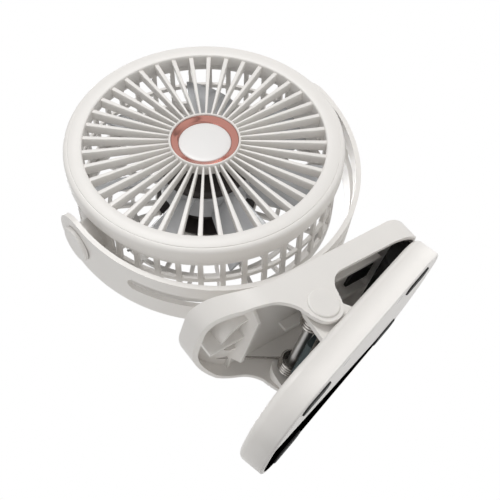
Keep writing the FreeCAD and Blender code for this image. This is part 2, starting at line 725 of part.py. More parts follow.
def yoke_band():
    outer = oval_prism(YOKE_OUT, YOKE_B + YOKE_T, YOKE_W / 2, YOKE_W)
    inner = oval_prism(YOKE_A, YOKE_B, YOKE_W / 2 + 1, YOKE_W + 2)
    band = outer.cut(inner)
    keep = rod(YOKE_W / 2, V(-REACH, 0, 0), V(REACH, 0, 0))
    keep = keep.fuse(box(-REACH, REACH, -YOKE_W / 2, YOKE_W / 2, -REACH, 0))
    band = band.common(keep)
    boss = rod(SWIVEL_WASHER_R, V(0, 0, -YOKE_B - YOKE_T), V(0, 0, -YOKE_B - YOKE_T / 2))
    band = band.fuse(boss)
    cuts = [yoke_slot(1), yoke_slot(-1),
            rod(SWIVEL_STUD_R, V(0, 0, -YOKE_B - 10), V(0, 0, -YOKE_B + 10)),
            rod(SWIVEL_HEAD_R + SEAT, V(0, 0, -YOKE_B - 0.3), V(0, 0, -YOKE_B + 5)),
            rod(PIVOT_PIN_R + RUN_FIT, V(-REACH, 0, 0), V(REACH, 0, 0)),
            rod(PIVOT_WASHER_R + 2.0, V(-YOKE_A, 0, 0), V(YOKE_A, 0, 0))]
    return band.cut(Part.makeCompound(cuts)).removeSplitter()


def swivel_screw():
    head = rod(SWIVEL_HEAD_R, V(0, 0, -YOKE_B - 0.3), V(0, 0, -YOKE_B - 0.3 + SWIVEL_HEAD_T))
    low = JAW_TOP - JAW_WALL - 1.5 - FACE_GAP - NUT_T - 1.0 - PIVOT_Z
    stud = rod(SWIVEL_STUD_R, V(0, 0, low), V(0, 0, -YOKE_B - 0.3))
    return head.fuse(stud)


def swivel_washer():
    z0 = -YOKE_B - YOKE_T - SWIVEL_WASHER_T
    return tube(SWIVEL_WASHER_R, SWIVEL_STUD_R, z0, z0 + SWIVEL_WASHER_T)


def swivel_nut():
    top = JAW_TOP - JAW_WALL - 1.5 - FACE_GAP - PIVOT_Z
    corners = [V(NUT_R * math.cos(k * math.pi / 3), NUT_R * math.sin(k * math.pi / 3), top - NUT_T)
               for k in range(7)]
    nut = Part.Face(Part.makePolygon(corners)).extrude(V(0, 0, NUT_T))
    return nut.cut(rod(SWIVEL_STUD_R, V(0, 0, top - NUT_T - 1), V(0, 0, top + 1)))


def pivot_caps():
    made = []
    for side in (1, -1):
        face = side * YOKE_OUT
        cap = rod(PIVOT_CAP_R, V(face, 0, 0), V(face + side * PIVOT_CAP_T, 0, 0))
        rim = [e for e in cap.Edges if abs(e.BoundBox.XMin - (face + side * PIVOT_CAP_T)) < 1e-4
               and abs(e.BoundBox.XMax - (face + side * PIVOT_CAP_T)) < 1e-4]
        made.append(cap.makeFillet(0.9, rim))
    return Part.makeCompound(made)


# Head, in its own frame: z along the fan's axis, x along the pivots
def slat():
    """One straight bar of the front grille, wider at the rim."""
    z1 = FACE_Z - SLAT_DROP
    r0, r1 = HUB_RING_R + HUB_WALL / 2, GRILLE_R + RIM_WALL / 2
    a, b = SLAT_W_HUB / 2, SLAT_W_RIM / 2
    wire = Part.makePolygon([V(r0, -a, 0), V(r1, -b, 0), V(r1, b, 0), V(r0, a, 0), V(r0, -a, 0)])
    bar = prism(wire, z1 - SLAT_H, z1 - 0.5)
    top = Part.makePolygon([V(r0, -a * 0.6, 0), V(r1, -b * 0.6, 0), V(r1, b * 0.6, 0), V(r0, a * 0.6, 0),
                            V(r0, -a * 0.6, 0)])
    base_wire = wire.copy()
    base_wire.translate(V(0, 0, z1 - 0.5))
    top.translate(V(0, 0, z1))
    ridge = Part.makeLoft([base_wire, top], True, True)
    return bar.fuse(ridge)


def front_grille():
    z = FACE_Z
    rim = revolved([
        (GRILLE_R, z - 1.2), (GRILLE_R + 1.2, z), (RIM_R - RIM_EDGE, z),
        (RIM_R - RIM_EDGE * 0.3, z - RIM_EDGE * 0.3),
        (RIM_R, z - RIM_EDGE), (RIM_R, z - RIM_H), (HOUSING_R, z - RIM_H), (HOUSING_R, z - 5.0),
        (GRILLE_R + RIM_WALL, z - 4.0), (GRILLE_R + RIM_WALL, z - 8.0), (GRILLE_R, z - 8.0)])
    hub = revolved([(HUB_RING_R, z - 0.9), (HUB_RING_R + HUB_WALL * 0.6, z - 0.4),
                    (HUB_RING_R + HUB_WALL, z - 1.2),
                    (HUB_RING_R + HUB_WALL, z - HUB_DEPTH), (4.0, z - HUB_DEPTH), (4.0, z - HUB_DEPTH + 1.6),
                    (HUB_RING_R, z - HUB_DEPTH + 1.6)])
    slats = around(slat(), SLAT_COUNT, SLAT_PHASE)
    whole = rim.multiFuse([hub] + slats)
    return whole.removeSplitter()


def motor_screw_places(z):
    radius = MOTOR_R - MOTOR_SCREW_INSET
    at = [math.radians(45.0 + 360.0 * k / MOTOR_SCREWS) for k in range(MOTOR_SCREWS)]
    return [V(radius * math.cos(a), radius * math.sin(a), z) for a in at]


def hub_trim_ring():
    z = FACE_Z
    return revolved([(HUB_RING_R, z - TRIM_DROP), (CAP_DISC_R + 0.1, z - CAP_DROP),
                     (CAP_DISC_R + 0.1, z - CAP_DROP - TRIM_T), (HUB_RING_R, z - TRIM_DROP - TRIM_T * 2.2)])


def hub_cap():
    z = FACE_Z - CAP_DROP
    disc = rod(CAP_DISC_R, V(0, 0, z - CAP_DISC_T), V(0, 0, z))
    rim = edges_at_height(disc, z)
    stem_low = FACE_Z - HUB_DEPTH + 1.6
    return disc.makeFillet(0.5, rim).fuse(rod(6.0, V(0, 0, stem_low), V(0, 0, z - CAP_DISC_T)))


def pivot_boss(side):
    boss = rod(PIVOT_BOSS_R, V(side * (HOUSING_R - 6.0), 0, 0),
               V(side * (YOKE_A - FACE_GAP - PIVOT_WASHER_T), 0, 0))
    return boss.cut(rod(HOUSING_R - HOUSING_WALL, V(0, 0, -40), V(0, 0, 40)))


def head_housing():
    wall = tube(HOUSING_R, HOUSING_R - HOUSING_WALL, BACK_Z, FACE_Z - 5.0)
    pitch = 360.0 / WINDOW_COUNT
    spared = math.degrees(math.asin((PIVOT_BOSS_R + WINDOW_W / 2) / HOUSING_R)) + 1.0
    cuts = []
    for row in range(WINDOW_ROWS):
        low = WINDOW_TOP - WINDOW_H - WINDOW_STEP * row
        for k in range(WINDOW_COUNT):
            angle = SLAT_PHASE + pitch * (k + 0.5)
            if min(angle % 180.0, 180.0 - angle % 180.0) > spared:
                window = box(HOUSING_R - 8, HOUSING_R + 4, -WINDOW_W / 2, WINDOW_W / 2, low, low + WINDOW_H)
                window.rotate(V(0, 0, 0), AZ, angle)
                cuts.append(window)
    wall = wall.cut(Part.makeCompound(cuts))
    whole = wall.multiFuse([pivot_boss(1), pivot_boss(-1)])
    return whole.cut(rod(PIVOT_PIN_R, V(-REACH, 0, 0), V(REACH, 0, 0))).removeSplitter()


def pivot_pins():
    inner = HOUSING_R - HOUSING_WALL
    outer = YOKE_OUT - FACE_GAP
    return Part.makeCompound([rod(PIVOT_PIN_R, V(s * inner, 0, 0), V(s * outer, 0, 0)) for s in (1, -1)])


def pivot_washers():
    face = YOKE_A - FACE_GAP
    made = []
    for side in (1, -1):
        disc = rod(PIVOT_WASHER_R, V(side * (face - PIVOT_WASHER_T), 0, 0), V(side * face, 0, 0))
        made.append(disc.cut(rod(PIVOT_PIN_R, V(-REACH, 0, 0), V(REACH, 0, 0))))
    return Part.makeCompound(made)


def rear_grille():
    z1, z0 = BACK_Z, BACK_Z - BACK_T
    rings = [revolved([(HOUSING_R - 7, z1), (HOUSING_R, z1), (HOUSING_R - 2.0, z0), (HOUSING_R - 7, z0)])]
    for share in BACK_RING_SHARES:
        radius = BACK_HUB_R + (HOUSING_R - BACK_HUB_R) * share
        rings.append(tube(radius + BACK_RING_W / 2, radius - BACK_RING_W / 2, z0, z1))
    bar = box(BACK_HUB_R - 1, HOUSING_R - 5, -BACK_BAR_W / 2, BACK_BAR_W / 2, z0, z1)
    hub = rod(BACK_HUB_R, V(0, 0, z0), V(0, 0, z1))
    pod = tube(POD_R, POD_R - POD_WALL, POD_Z0, z0 + 0.5)
    lid = rod(POD_R, V(0, 0, POD_Z0), V(0, 0, POD_Z0 + POD_WALL))
    whole = hub.multiFuse(rings + around(bar, BACK_BARS) + [pod, lid])
    cuts = [rod(BUTTON_R + BUTTON_GAP, V(0, 0, POD_Z0 - 1), V(0, 0, POD_Z0 + POD_WALL + 1))]
    cuts.append(box(-SOCKET_W / 2, SOCKET_W / 2, -POD_R - 2, -POD_R + POD_WALL + 6,
                    socket_low(), socket_low() + SOCKET_H))
    for point in motor_screw_places(z0):
        cuts.append(rod(SCREW_R, point - V(0, 0, 1), point + V(0, 0, BACK_T + 1)))
    return whole.cut(Part.makeCompound(cuts)).removeSplitter()


def board_top():
    return BACK_Z - BACK_T - 1.0


def socket_low():
    return board_top() - BOARD_T - SOCKET_H


def circuit_board():
    board = rod(BOARD_R, V(0, 0, board_top() - BOARD_T), V(0, 0, board_top()))
    flat = box(-40, 40, BOARD_R - 4, 40, -60, 0)
    spacer = [rod(2.0, V(x, 0, board_top()), V(x, 0, BACK_Z - BACK_T)) for x in (-18, 18)]
    return board.cut(flat).multiFuse(spacer)


def charging_socket():
    z = socket_low()
    y0 = -POD_R + 0.6
    shell = box(-SOCKET_W / 2, SOCKET_W / 2, y0, y0 + SOCKET_DEPTH, z, z + SOCKET_H)
    t = SOCKET_WALL
    half, deep = SOCKET_W / 2 - t, y0 + SOCKET_DEPTH - 3 * t
    hollow = box(-half, half, y0 - 1, deep, z + t, z + SOCKET_H - t)
    return shell.cut(hollow)


def power_button():
    z0 = POD_Z0 - BUTTON_PROUD
    cap = rod(BUTTON_R, V(0, 0, z0), V(0, 0, POD_Z0 + POD_WALL + BUTTON_FLANGE))
    cap = cap.makeFillet(0.5, edges_at_height(cap, z0))
    inside = POD_Z0 + POD_WALL
    flange = rod(BUTTON_R + BUTTON_LIP, V(0, 0, inside + RUN_FIT), V(0, 0, inside + BUTTON_FLANGE))
    return cap.fuse(flange)


def button_switch():
    z0 = POD_Z0 + POD_WALL + BUTTON_FLANGE + BUTTON_TRAVEL + 0.2
    return box(-3, 3, -3, 3, z0, board_top() - BOARD_T)


def motor_can():
    z1 = MOTOR_Z
    can = rod(MOTOR_R, V(0, 0, BACK_Z), V(0, 0, z1 - 4.0))
    collar = rod(BEARING_R + 2.5, V(0, 0, z1 - 5.0), V(0, 0, z1))
    flange = rod(MOTOR_FLANGE_R, V(0, 0, BACK_Z), V(0, 0, BACK_Z + MOTOR_FLANGE_T))
    whole = can.multiFuse([collar, flange])
    cuts = [rod(SHAFT_R + 0.8, V(0, 0, BACK_Z - 1), V(0, 0, z1 + 1)),
            rod(BEARING_R, V(0, 0, z1 - BEARING_W), V(0, 0, z1 + 1)),
            rod(BEARING_R, V(0, 0, BACK_Z - 1), V(0, 0, BACK_Z + BEARING_W))]
    for point in motor_screw_places(BACK_Z):
        cuts.append(rod(SCREW_R, point - V(0, 0, 1), point + V(0, 0, SCREW_LEN)))
    return whole.cut(Part.makeCompound(cuts))


def bearings():
    inner = SHAFT_R + RUN_FIT
    front = tube(BEARING_R, inner, MOTOR_Z - BEARING_W, MOTOR_Z)
    back = tube(BEARING_R, inner, BACK_Z, BACK_Z + BEARING_W)
    return Part.makeCompound([front, back])


def motor_screws():
    made = []
    for point in motor_screw_places(BACK_Z - BACK_T):
        head = rod(SCREW_HEAD_R, point - V(0, 0, 0.8), point)
        shank = rod(SCREW_R, point, point + V(0, 0, BACK_T + 5.0))
        made.append(head.fuse(shank))
    return Part.makeCompound(made)


def motor_shaft():
    return rod(SHAFT_R, V(0, 0, BACK_Z + 0.5), V(0, 0, HUB_CUP_Z1 + LOCK_NUT_T + 1.0))


def hub_cup():
    """The dark drive cup that holds the magnets and carries the blades."""
    outer = rod(HUB_CUP_R, V(0, 0, HUB_CUP_Z0), V(0, 0, HUB_CUP_Z1))
    outer = outer.makeFillet(3.0, edges_at_height(outer, HUB_CUP_Z1))
    inner = rod(HUB_CUP_R - HUB_CUP_WALL, V(0, 0, HUB_CUP_Z0 - 1), V(0, 0, HUB_CUP_Z1 - 3.0))
    boss = rod(5.0, V(0, 0, MOTOR_Z + 1.5), V(0, 0, HUB_CUP_Z1))
    return outer.cut(inner).fuse(boss).cut(rod(SHAFT_R, V(0, 0, -40), V(0, 0, 40))).removeSplitter()


def magnet_ring():
    inside = HUB_CUP_R - HUB_CUP_WALL
    return tube(inside, inside - 3.0, HUB_CUP_Z0 + 1.0, HUB_CUP_Z1 - 5.0)


def blade_section(radius, chord, pitch, middle):
    """A cambered strip, square to the radius."""
    half, t, camber = chord / 2, BLADE_T / 2, chord * 0.08
    outline = [V(radius, -half, -t), V(radius, 0, camber - t), V(radius, half, -t),
               V(radius, half, t), V(radius, 0, camber + t), V(radius, -half, t)]
    wire = Part.Wire([
        Part.Arc(outline[0], outline[1], outline[2]).toShape(), Part.makeLine(outline[2], outline[3]),
        Part.Arc(outline[3], outline[4], outline[5]).toShape(), Part.makeLine(outline[5], outline[0])])
    wire.rotate(V(0, 0, 0), AX, pitch)
    wire.translate(V(0, 0, middle))
    return wire


def fan_blades():
    middle = 0.0
    root = HUB_CUP_R - 4.0
    sections = []
    for k in range(3):
        share = k / 2.0
        radius = root + (BLADE_R - root) * share
        chord = BLADE_CHORD_HUB + (BLADE_CHORD_TIP - BLADE_CHORD_HUB) * share
        pitch = BLADE_PITCH_HUB + (BLADE_PITCH_TIP - BLADE_PITCH_HUB) * share
        sections.append(blade_section(radius, chord, pitch, middle))
    blade = Part.makeLoft(sections, True, False)
    core = rod(HUB_CUP_R, V(0, 0, -40), V(0, 0, 40))
    blade = blade.cut(core).common(rod(BLADE_R, V(0, 0, -40), V(0, 0, 40)))
    sleeve = tube(HUB_CUP_R + SLEEVE_T, HUB_CUP_R, HUB_CUP_Z0 + 1.0, HUB_CUP_Z1 - 3.0)
    return sleeve.multiFuse(around(blade, BLADE_COUNT)).removeSplitter()


def lock_nut():
    body = rod(LOCK_NUT_R, V(0, 0, HUB_CUP_Z1), V(0, 0, HUB_CUP_Z1 + LOCK_NUT_T))
    body = body.makeFillet(1.0, edges_at_height(body, HUB_CUP_Z1 + LOCK_NUT_T))
    return body.cut(rod(SHAFT_R, V(0, 0, 0), V(0, 0, 40)))


def main():
    for name, make in (("base_shell", base_shell), ("base_cover", base_cover), ("rubber_feet", rubber_feet),
                       ("cover_screws", cover_screws), ("base_pad", base_pad), ("throat_pad", throat_pad),
                       ("battery_cell", battery_cell)):
        save(name, make(), BASE_FRAME)
    for name, make in (("jaw_shell", jaw_shell), ("hinge_pin", hinge_pin), ("hinge_caps", hinge_caps),
                       ("jaw_pad", jaw_pad)):
        save(name, make(), JAW_FRAME)
    save("spring_near", spring_solid(-1), JAW_FRAME)
    save("spring_far", spring_solid(1), JAW_FRAME)
    for name, make in (("yoke_band", yoke_band), ("swivel_screw", swivel_screw),
                       ("swivel_washer", swivel_washer), ("swivel_nut", swivel_nut),
                       ("pivot_caps", pivot_caps)):
        save(name, make(), YOKE_FRAME)
    for name, make in (("front_grille", front_grille), ("hub_trim_ring", hub_trim_ring),
                       ("hub_cap", hub_cap), ("head_housing", head_housing), ("pivot_pins", pivot_pins),
                       ("pivot_washers", pivot_washers), ("rear_grille", rear_grille),
                       ("circuit_board", circuit_board),
                       ("charging_socket", charging_socket), ("power_button", power_button),
                       ("button_switch", button_switch), ("motor_can", motor_can), ("bearings", bearings),
                       ("motor_screws", motor_screws), ("motor_shaft", motor_shaft), ("hub_cup", hub_cup),
                       ("magnet_ring", magnet_ring), ("fan_blades", fan_blades), ("lock_nut", lock_nut)):
        save(name, make(), HEAD_FRAME)


main()
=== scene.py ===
import json
import math

import bpy
from bpy.props import FloatProperty, FloatVectorProperty, IntProperty, PointerProperty
from mathutils import Matrix, Vector


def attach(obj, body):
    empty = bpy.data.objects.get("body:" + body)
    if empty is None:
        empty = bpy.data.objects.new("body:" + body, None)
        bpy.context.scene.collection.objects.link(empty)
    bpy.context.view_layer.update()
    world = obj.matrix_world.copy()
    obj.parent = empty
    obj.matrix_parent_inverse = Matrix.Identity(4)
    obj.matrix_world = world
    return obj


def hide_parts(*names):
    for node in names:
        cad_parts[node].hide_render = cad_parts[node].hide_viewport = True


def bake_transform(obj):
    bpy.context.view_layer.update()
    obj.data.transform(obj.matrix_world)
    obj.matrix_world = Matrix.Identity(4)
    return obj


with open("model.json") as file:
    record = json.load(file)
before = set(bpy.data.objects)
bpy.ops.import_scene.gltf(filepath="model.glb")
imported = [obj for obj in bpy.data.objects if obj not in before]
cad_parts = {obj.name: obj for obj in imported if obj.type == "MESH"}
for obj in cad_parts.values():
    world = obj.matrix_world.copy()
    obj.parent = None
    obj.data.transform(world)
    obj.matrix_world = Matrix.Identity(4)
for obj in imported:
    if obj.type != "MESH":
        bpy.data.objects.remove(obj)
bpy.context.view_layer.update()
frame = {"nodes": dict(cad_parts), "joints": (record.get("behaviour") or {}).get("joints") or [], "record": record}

bl_info = {
    "name": "Clip fan",
    "version": (1, 0, 0),
    "blender": (4, 5, 0),
    "location": "View3D > Sidebar > Clip fan",
    "description": "Builds the skin, the finishes and the studio round a clip fan's frame",
    "category": "Object",
}

MM = 0.001
TAU = 2.0 * math.pi
MERGE = 1e-6


# Places taken from the frame's joints
def joint(name):
    return next(j for j in frame["joints"] if j["name"] == name)


def place(at, x_axis, z_axis):
    """A matrix with its origin at a point, its x and z along two square directions."""
    x, z = Vector(x_axis).normalized(), Vector(z_axis).normalized()
    y = z.cross(x)
    turn = Matrix((x, y, z)).transposed().to_4x4()
    return Matrix.Translation(Vector(at)) @ turn


HINGE = Vector(joint("jaw_hinge")["pos_m"])
PIVOT = Vector(joint("head_tilt")["pos_m"])
JAW_UP = Vector(joint("yoke_swivel")["axis"])
PIVOT_WAY = Vector(joint("head_tilt")["axis"])
FAN_WAY = Vector(joint("rotor_spin")["axis"])
HEAD = place(PIVOT, PIVOT_WAY, FAN_WAY)
YOKE = place(PIVOT, PIVOT_WAY, JAW_UP)
JAW = place(HINGE, Vector((0, 1, 0)).cross(JAW_UP), JAW_UP)


# Sizes and colours that a user would change
def length(name, description, millimetres):
    return FloatProperty(name=name, description=description, default=millimetres * MM, unit="LENGTH")


def colour(name, description, default):
    return FloatVectorProperty(name=name, description=description, default=default, subtype="COLOR", size=3)


class HeadSizes(bpy.types.PropertyGroup):
    rim_radius: length("Rim radius", "Outside of the front rim", 82.5)
    opening_radius: length("Opening radius", "Inside of the front rim", 71.4)
    face_height: length("Face height", "Front face above the pivots", 29.0)
    hub_radius: length("Hub ring radius", "Inside of the white hub wall", 20.0)
    slat_count: IntProperty(name="Slats", description="Bars of the front grille", default=40)
    slat_phase: FloatProperty(name="First slat", description="Angle of the first slat",
                              default=math.radians(6.65), subtype="ANGLE")
    window_count: IntProperty(name="Windows", description="Windows in one row of the side wall", default=40)
    blade_count: IntProperty(name="Blades", description="Blades of the fan", default=7)


class Colours(bpy.types.PropertyGroup):
    shell: colour("Shell", "Warm white plastic", (0.83, 0.805, 0.775))
    cap: colour("Hub cap", "Cooler white of the hub cap", (0.80, 0.79, 0.78))
    trim: colour("Trim", "Rose-gold plating", (0.50, 0.235, 0.195))
    rubber: colour("Rubber", "Black rubber", (0.012, 0.012, 0.012))
    slate: colour("Slate rubber", "Throat pad", (0.055, 0.075, 0.08))
    steel: colour("Steel", "Drawn steel wire", (0.42, 0.40, 0.38))
    pin: colour("Pins", "Turned steel", (0.45, 0.44, 0.43))
    # Painted shade: the blades' grey-blue colour stands in for shade and bluish light on white translucent blades.
    blade: colour("Blades", "Clear blades, grey-blue from painted shade", (0.62, 0.63, 0.65))
    # Partly painted shadow: the drive's dark brown is partly its own dark plastic and partly the shadow deep
    # inside the head.
    dark: colour("Drive", "Dark drive parts, partly painted shadow", (0.045, 0.038, 0.035))
    cell: colour("Cell", "Wrap of the battery cell", (0.06, 0.12, 0.28))
    magnet: colour("Magnet", "Sintered magnet ring", (0.16, 0.16, 0.165))


# Shader maths
class Value:
    """A number or socket of one material, with arithmetic."""

    def __init__(self, finish, source):
        self.finish = finish
        self.source = source

    def _op(self, operation, other, flipped=False):
        pair = (other, self) if flipped else (self, other)
        return self.finish.node("ShaderNodeMath", {"operation": operation}, {0: pair[0], 1: pair[1]})

    def __add__(self, other):
        return self._op("ADD", other)

    def __radd__(self, other):
        return self._op("ADD", other, True)

    def __sub__(self, other):
        return self._op("SUBTRACT", other)

    def __mul__(self, other):
        return self._op("MULTIPLY", other)

    def __lt__(self, other):
        return self._op("LESS_THAN", other)

    def __pow__(self, other):
        return self._op("POWER", other)


class Finish:
    """A procedural material round one Principled shader."""

    def __init__(self, name, **fixed):
        self.material = bpy.data.materials.new(name)
        self.material.use_nodes = True
        self.tree = self.material.node_tree
        self.shader = self.tree.nodes["Principled BSDF"]
        self.output = self.tree.nodes["Material Output"]
        for socket, value in fixed.items():
            self.shader.inputs[socket.replace("_", " ")].default_value = value

    def node(self, kind, settings, inputs, output=0):
        made = self.tree.nodes.new(kind)
        for key, value in settings.items():
            setattr(made, key, value)
        for socket, value in inputs.items():
            self.link(made.inputs[socket], value)
        return Value(self, made.outputs[output])

    def link(self, socket, value):
        if isinstance(value, Value):
            self.tree.links.new(value.source, socket)
        else:
            socket.default_value = value

    def set(self, socket, value):
        self.link(self.shader.inputs[socket], value)

    def coordinates(self):
        return self.node("ShaderNodeTexCoord", {}, {}, "Object")

    def stretched(self, scale):
        return self.node("ShaderNodeMapping", {}, {"Vector": self.coordinates(), "Scale": scale})

    def noise(self, scale, detail=3.0, vector=None):
        return self.node("ShaderNodeTexNoise", {},
                         {"Vector": vector or self.coordinates(), "Scale": scale, "Detail": detail}, "Fac")

    def blend(self, mask, first, second):
        return self.node("ShaderNodeMix", {"data_type": "RGBA"},
                         {0: mask, 6: (*first, 1.0), 7: (*second, 1.0)}, 2)

    def bump(self, height, depth, strength):
        self.set("Normal", self.node("ShaderNodeBump", {},
                                     {"Height": height, "Distance": depth, "Strength": strength}, "Normal"))


def shaded(base, factor):
    return tuple(c * factor for c in base)


def moulded(name, base, rough, texture, spread):
    """Injection-moulded plastic: soft mottling, faint flow streaks and a fine spark-eroded skin."""
    finish = Finish(name)
    cloud = finish.noise(22.0, 2.0)
    flow = finish.noise(60.0, 3.0, finish.stretched((1.0, 0.35, 1.0)))
    mask = cloud * 0.6 + flow * 0.4
    finish.set("Base Color", finish.blend(mask, shaded(base, 1.0 - spread), shaded(base, 1.0 + spread * 0.6)))
    grain = finish.noise(2600.0, 2.0)
    finish.set("Roughness", rough + (flow - 0.5) * 0.10 + (grain - 0.5) * 0.06)
    finish.bump(grain, 0.02 * MM * texture, 0.5)
    return finish.material


def plated(name, base, rough=0.14):
    """Vacuum-plated plastic, bright, with faint orange peel."""
    finish = Finish(name, Metallic=1.0)
    cloud = finish.noise(90.0, 2.0)
    finish.set("Base Color", finish.blend(cloud, shaded(base, 0.93), shaded(base, 1.04)))
    peel = finish.noise(700.0, 2.0)
    finish.set("Roughness", rough + (peel - 0.5) * 0.08)
    finish.bump(peel, 0.012 * MM, 0.5)
    return finish.material


def drawn_steel(name, base, rough=0.26):
    """Steel wire and pins, with drawing lines along the surface and darker handling marks."""
    finish = Finish(name, Metallic=1.0)
    lines = finish.noise(900.0, 3.0, finish.stretched((1.0, 0.08, 1.0)))
    marks = finish.noise(140.0, 4.0)
    finish.set("Base Color", finish.blend(marks, shaded(base, 0.80), shaded(base, 1.08)))
    finish.set("Roughness", rough + (lines - 0.5) * 0.16)
    finish.bump(lines, 0.01 * MM, 0.6)
    return finish.material


def rubber(name, base, rough=0.72):
    """Moulded rubber, dull, with a dusty bloom and a fine stipple."""
    finish = Finish(name, Specular_IOR_Level=0.25)
    bloom = finish.noise(75.0, 4.0)
    finish.set("Base Color", finish.blend(bloom ** 2.0, base, tuple(c + 0.02 for c in base)))
    stipple = finish.noise(1600.0, 2.0)
    finish.set("Roughness", rough + (bloom - 0.5) * 0.15)
    finish.bump(stipple, 0.05 * MM, 0.6)
    return finish.material


def grey_shaded_blades(name, base):
    """Translucent blades whose grey-blue colour is painted shade and bluish light on white plastic, glossier along
    flow streaks.
    """
    finish = Finish(name, Transmission_Weight=0.2, IOR=1.46)
    flow = finish.noise(45.0, 3.0)
    finish.set("Base Color", finish.blend(flow, shaded(base, 0.92), shaded(base, 1.05)))
    finish.set("Roughness", 0.24 + (flow - 0.5) * 0.12)
    finish.bump(flow, 0.05 * MM, 0.3)
    return finish.material


def lacquered_board(name):
    """Green board with a faint pattern of tracks."""
    finish = Finish(name)
    tracks = finish.node("ShaderNodeTexVoronoi", {"distance": "MANHATTAN"},
                         {"Vector": finish.coordinates(), "Scale": 420.0}, "Distance")
    finish.set("Base Color", finish.blend(tracks, (0.01, 0.09, 0.04), (0.03, 0.17, 0.08)))
    finish.set("Roughness", 0.3 + tracks * 0.2)
    finish.bump(tracks, 0.03 * MM, 0.6)
    return finish.material


# Modelling helpers
def settle():
    if bpy.context.object and bpy.context.object.mode != "OBJECT":
        bpy.ops.object.mode_set(mode="OBJECT")
    bpy.ops.object.select_all(action="DESELECT")


def take(*pieces):
    """Only these pieces are selected, and the first is active."""
    settle()
    for piece in pieces:
        piece.select_set(True)
    bpy.context.view_layer.objects.active = pieces[0]
    return pieces[0]


def edit(piece):
    take(piece)
    bpy.ops.object.mode_set(mode="EDIT")
    bpy.ops.mesh.select_all(action="SELECT")


def done():
    bpy.ops.object.mode_set(mode="OBJECT")
    return bpy.context.object


def finish_with(piece, kind, **settings):
    """Adds a modifier and applies it."""
    take(piece)
    modifier = piece.modifiers.new(kind.title(), kind)
    for key, value in settings.items():
        setattr(modifier, key, value)
    bpy.ops.object.modifier_apply(modifier=modifier.name)
    return piece


def rounded(piece, width, segments=2, angle=40.0):
    return finish_with(piece, "BEVEL", width=width, segments=segments, limit_method="ANGLE",
                       angle_limit=math.radians(angle), use_clamp_overlap=True, harden_normals=False)


def smooth(piece, angle=35.0):
    take(piece)
    bpy.ops.object.shade_smooth_by_angle(angle=math.radians(angle))
    return piece


def closed(piece):
    """Doubles merged and faces turned outwards."""
    edit(piece)
    bpy.ops.mesh.remove_doubles(threshold=MERGE)
    bpy.ops.mesh.normals_make_consistent(inside=False)
    return done()


def settled_in(piece, matrix):
    """Moves a piece modelled in a sub-frame to its place, and applies it."""
    take(piece)
    piece.matrix_world = matrix @ piece.matrix_world
    bpy.ops.object.transform_apply(location=True, rotation=True, scale=True)
    return piece


def joined(name, pieces):
    first = take(*pieces)
    if len(pieces) > 1:
        bpy.ops.object.join()
    first.name = name
    first.data.name = name
    return first


def pick(piece, test):
    """Selects, in edit mode, the faces whose middles pass a test."""
    take(piece)
    bpy.ops.object.mode_set(mode="EDIT")
    bpy.ops.mesh.select_mode(type="FACE")
    bpy.ops.mesh.select_all(action="DESELECT")
    bpy.ops.object.mode_set(mode="OBJECT")
    for face in piece.data.polygons:
        face.select = test(face.center, face.normal)
    bpy.ops.object.mode_set(mode="EDIT")


def outlined(points):
    """One corner drawn out from point to point."""
    settle()
    bpy.ops.mesh.primitive_plane_add(size=MM, location=points[0])
    bpy.ops.object.transform_apply(location=True)
    bpy.ops.object.mode_set(mode="EDIT")
    bpy.ops.mesh.select_mode(type="VERT")
    bpy.ops.mesh.select_all(action="SELECT")
    bpy.ops.mesh.merge(type="CENTER")
    for before, after in zip(points, points[1:]):
        step = Vector(after) - Vector(before)
        bpy.ops.mesh.extrude_region_move(TRANSFORM_OT_translate={"value": step})
    bpy.ops.mesh.select_all(action="SELECT")
    return bpy.context.object


def turned(name, profile, steps=96):
    """A closed outline of (radius, height) points, spun round the z axis."""
    points = [(radius, 0.0, height) for radius, height in profile]
    piece = outlined(points + points[:1])
    bpy.ops.mesh.remove_doubles(threshold=MERGE)
    bpy.ops.mesh.select_all(action="SELECT")
    bpy.ops.mesh.spin(steps=steps, angle=TAU, center=(0, 0, 0), axis=(0, 0, 1))
    bpy.ops.mesh.select_all(action="SELECT")
    bpy.ops.mesh.remove_doubles(threshold=MERGE)
    bpy.ops.mesh.normals_make_consistent(inside=False)
    done()
    piece.name = name
    return piece


def ring_of(piece, count, phase=0.0):
    """Copies of a piece round the z axis, each with its own mesh."""
    made = []
    for k in range(count):
        angle = phase + TAU * k / count
        copy = piece.copy()
        copy.data = piece.data.copy()
        bpy.context.collection.objects.link(copy)
        copy.matrix_world = Matrix.Rotation(angle, 4, "Z") @ piece.matrix_world
        made.append(copy)
    bpy.data.objects.remove(piece)
    for copy in made:
        take(copy)
        bpy.ops.object.transform_apply(location=True, rotation=True, scale=True)
    return made


def arc_points(centre, radius, start, end, count):
    """Points on an arc in the (radius, height) plane, angles in degrees."""
    return [(centre[0] + radius * math.cos(math.radians(start + (end - start) * k / count)),
             centre[1] + radius * math.sin(math.radians(start + (end - start) * k / count)))
            for k in range(count + 1)]


def stand_in(piece, material, nodes):
    """Material, slot and the nodes that a piece stands for."""
    piece.data.materials.clear()
    piece.data.materials.append(material)
    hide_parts(*nodes)


def dress(piece, material, body, nodes):
    """A stand-in that rides on one body."""
    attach(piece, body)
    stand_in(piece, material, nodes)


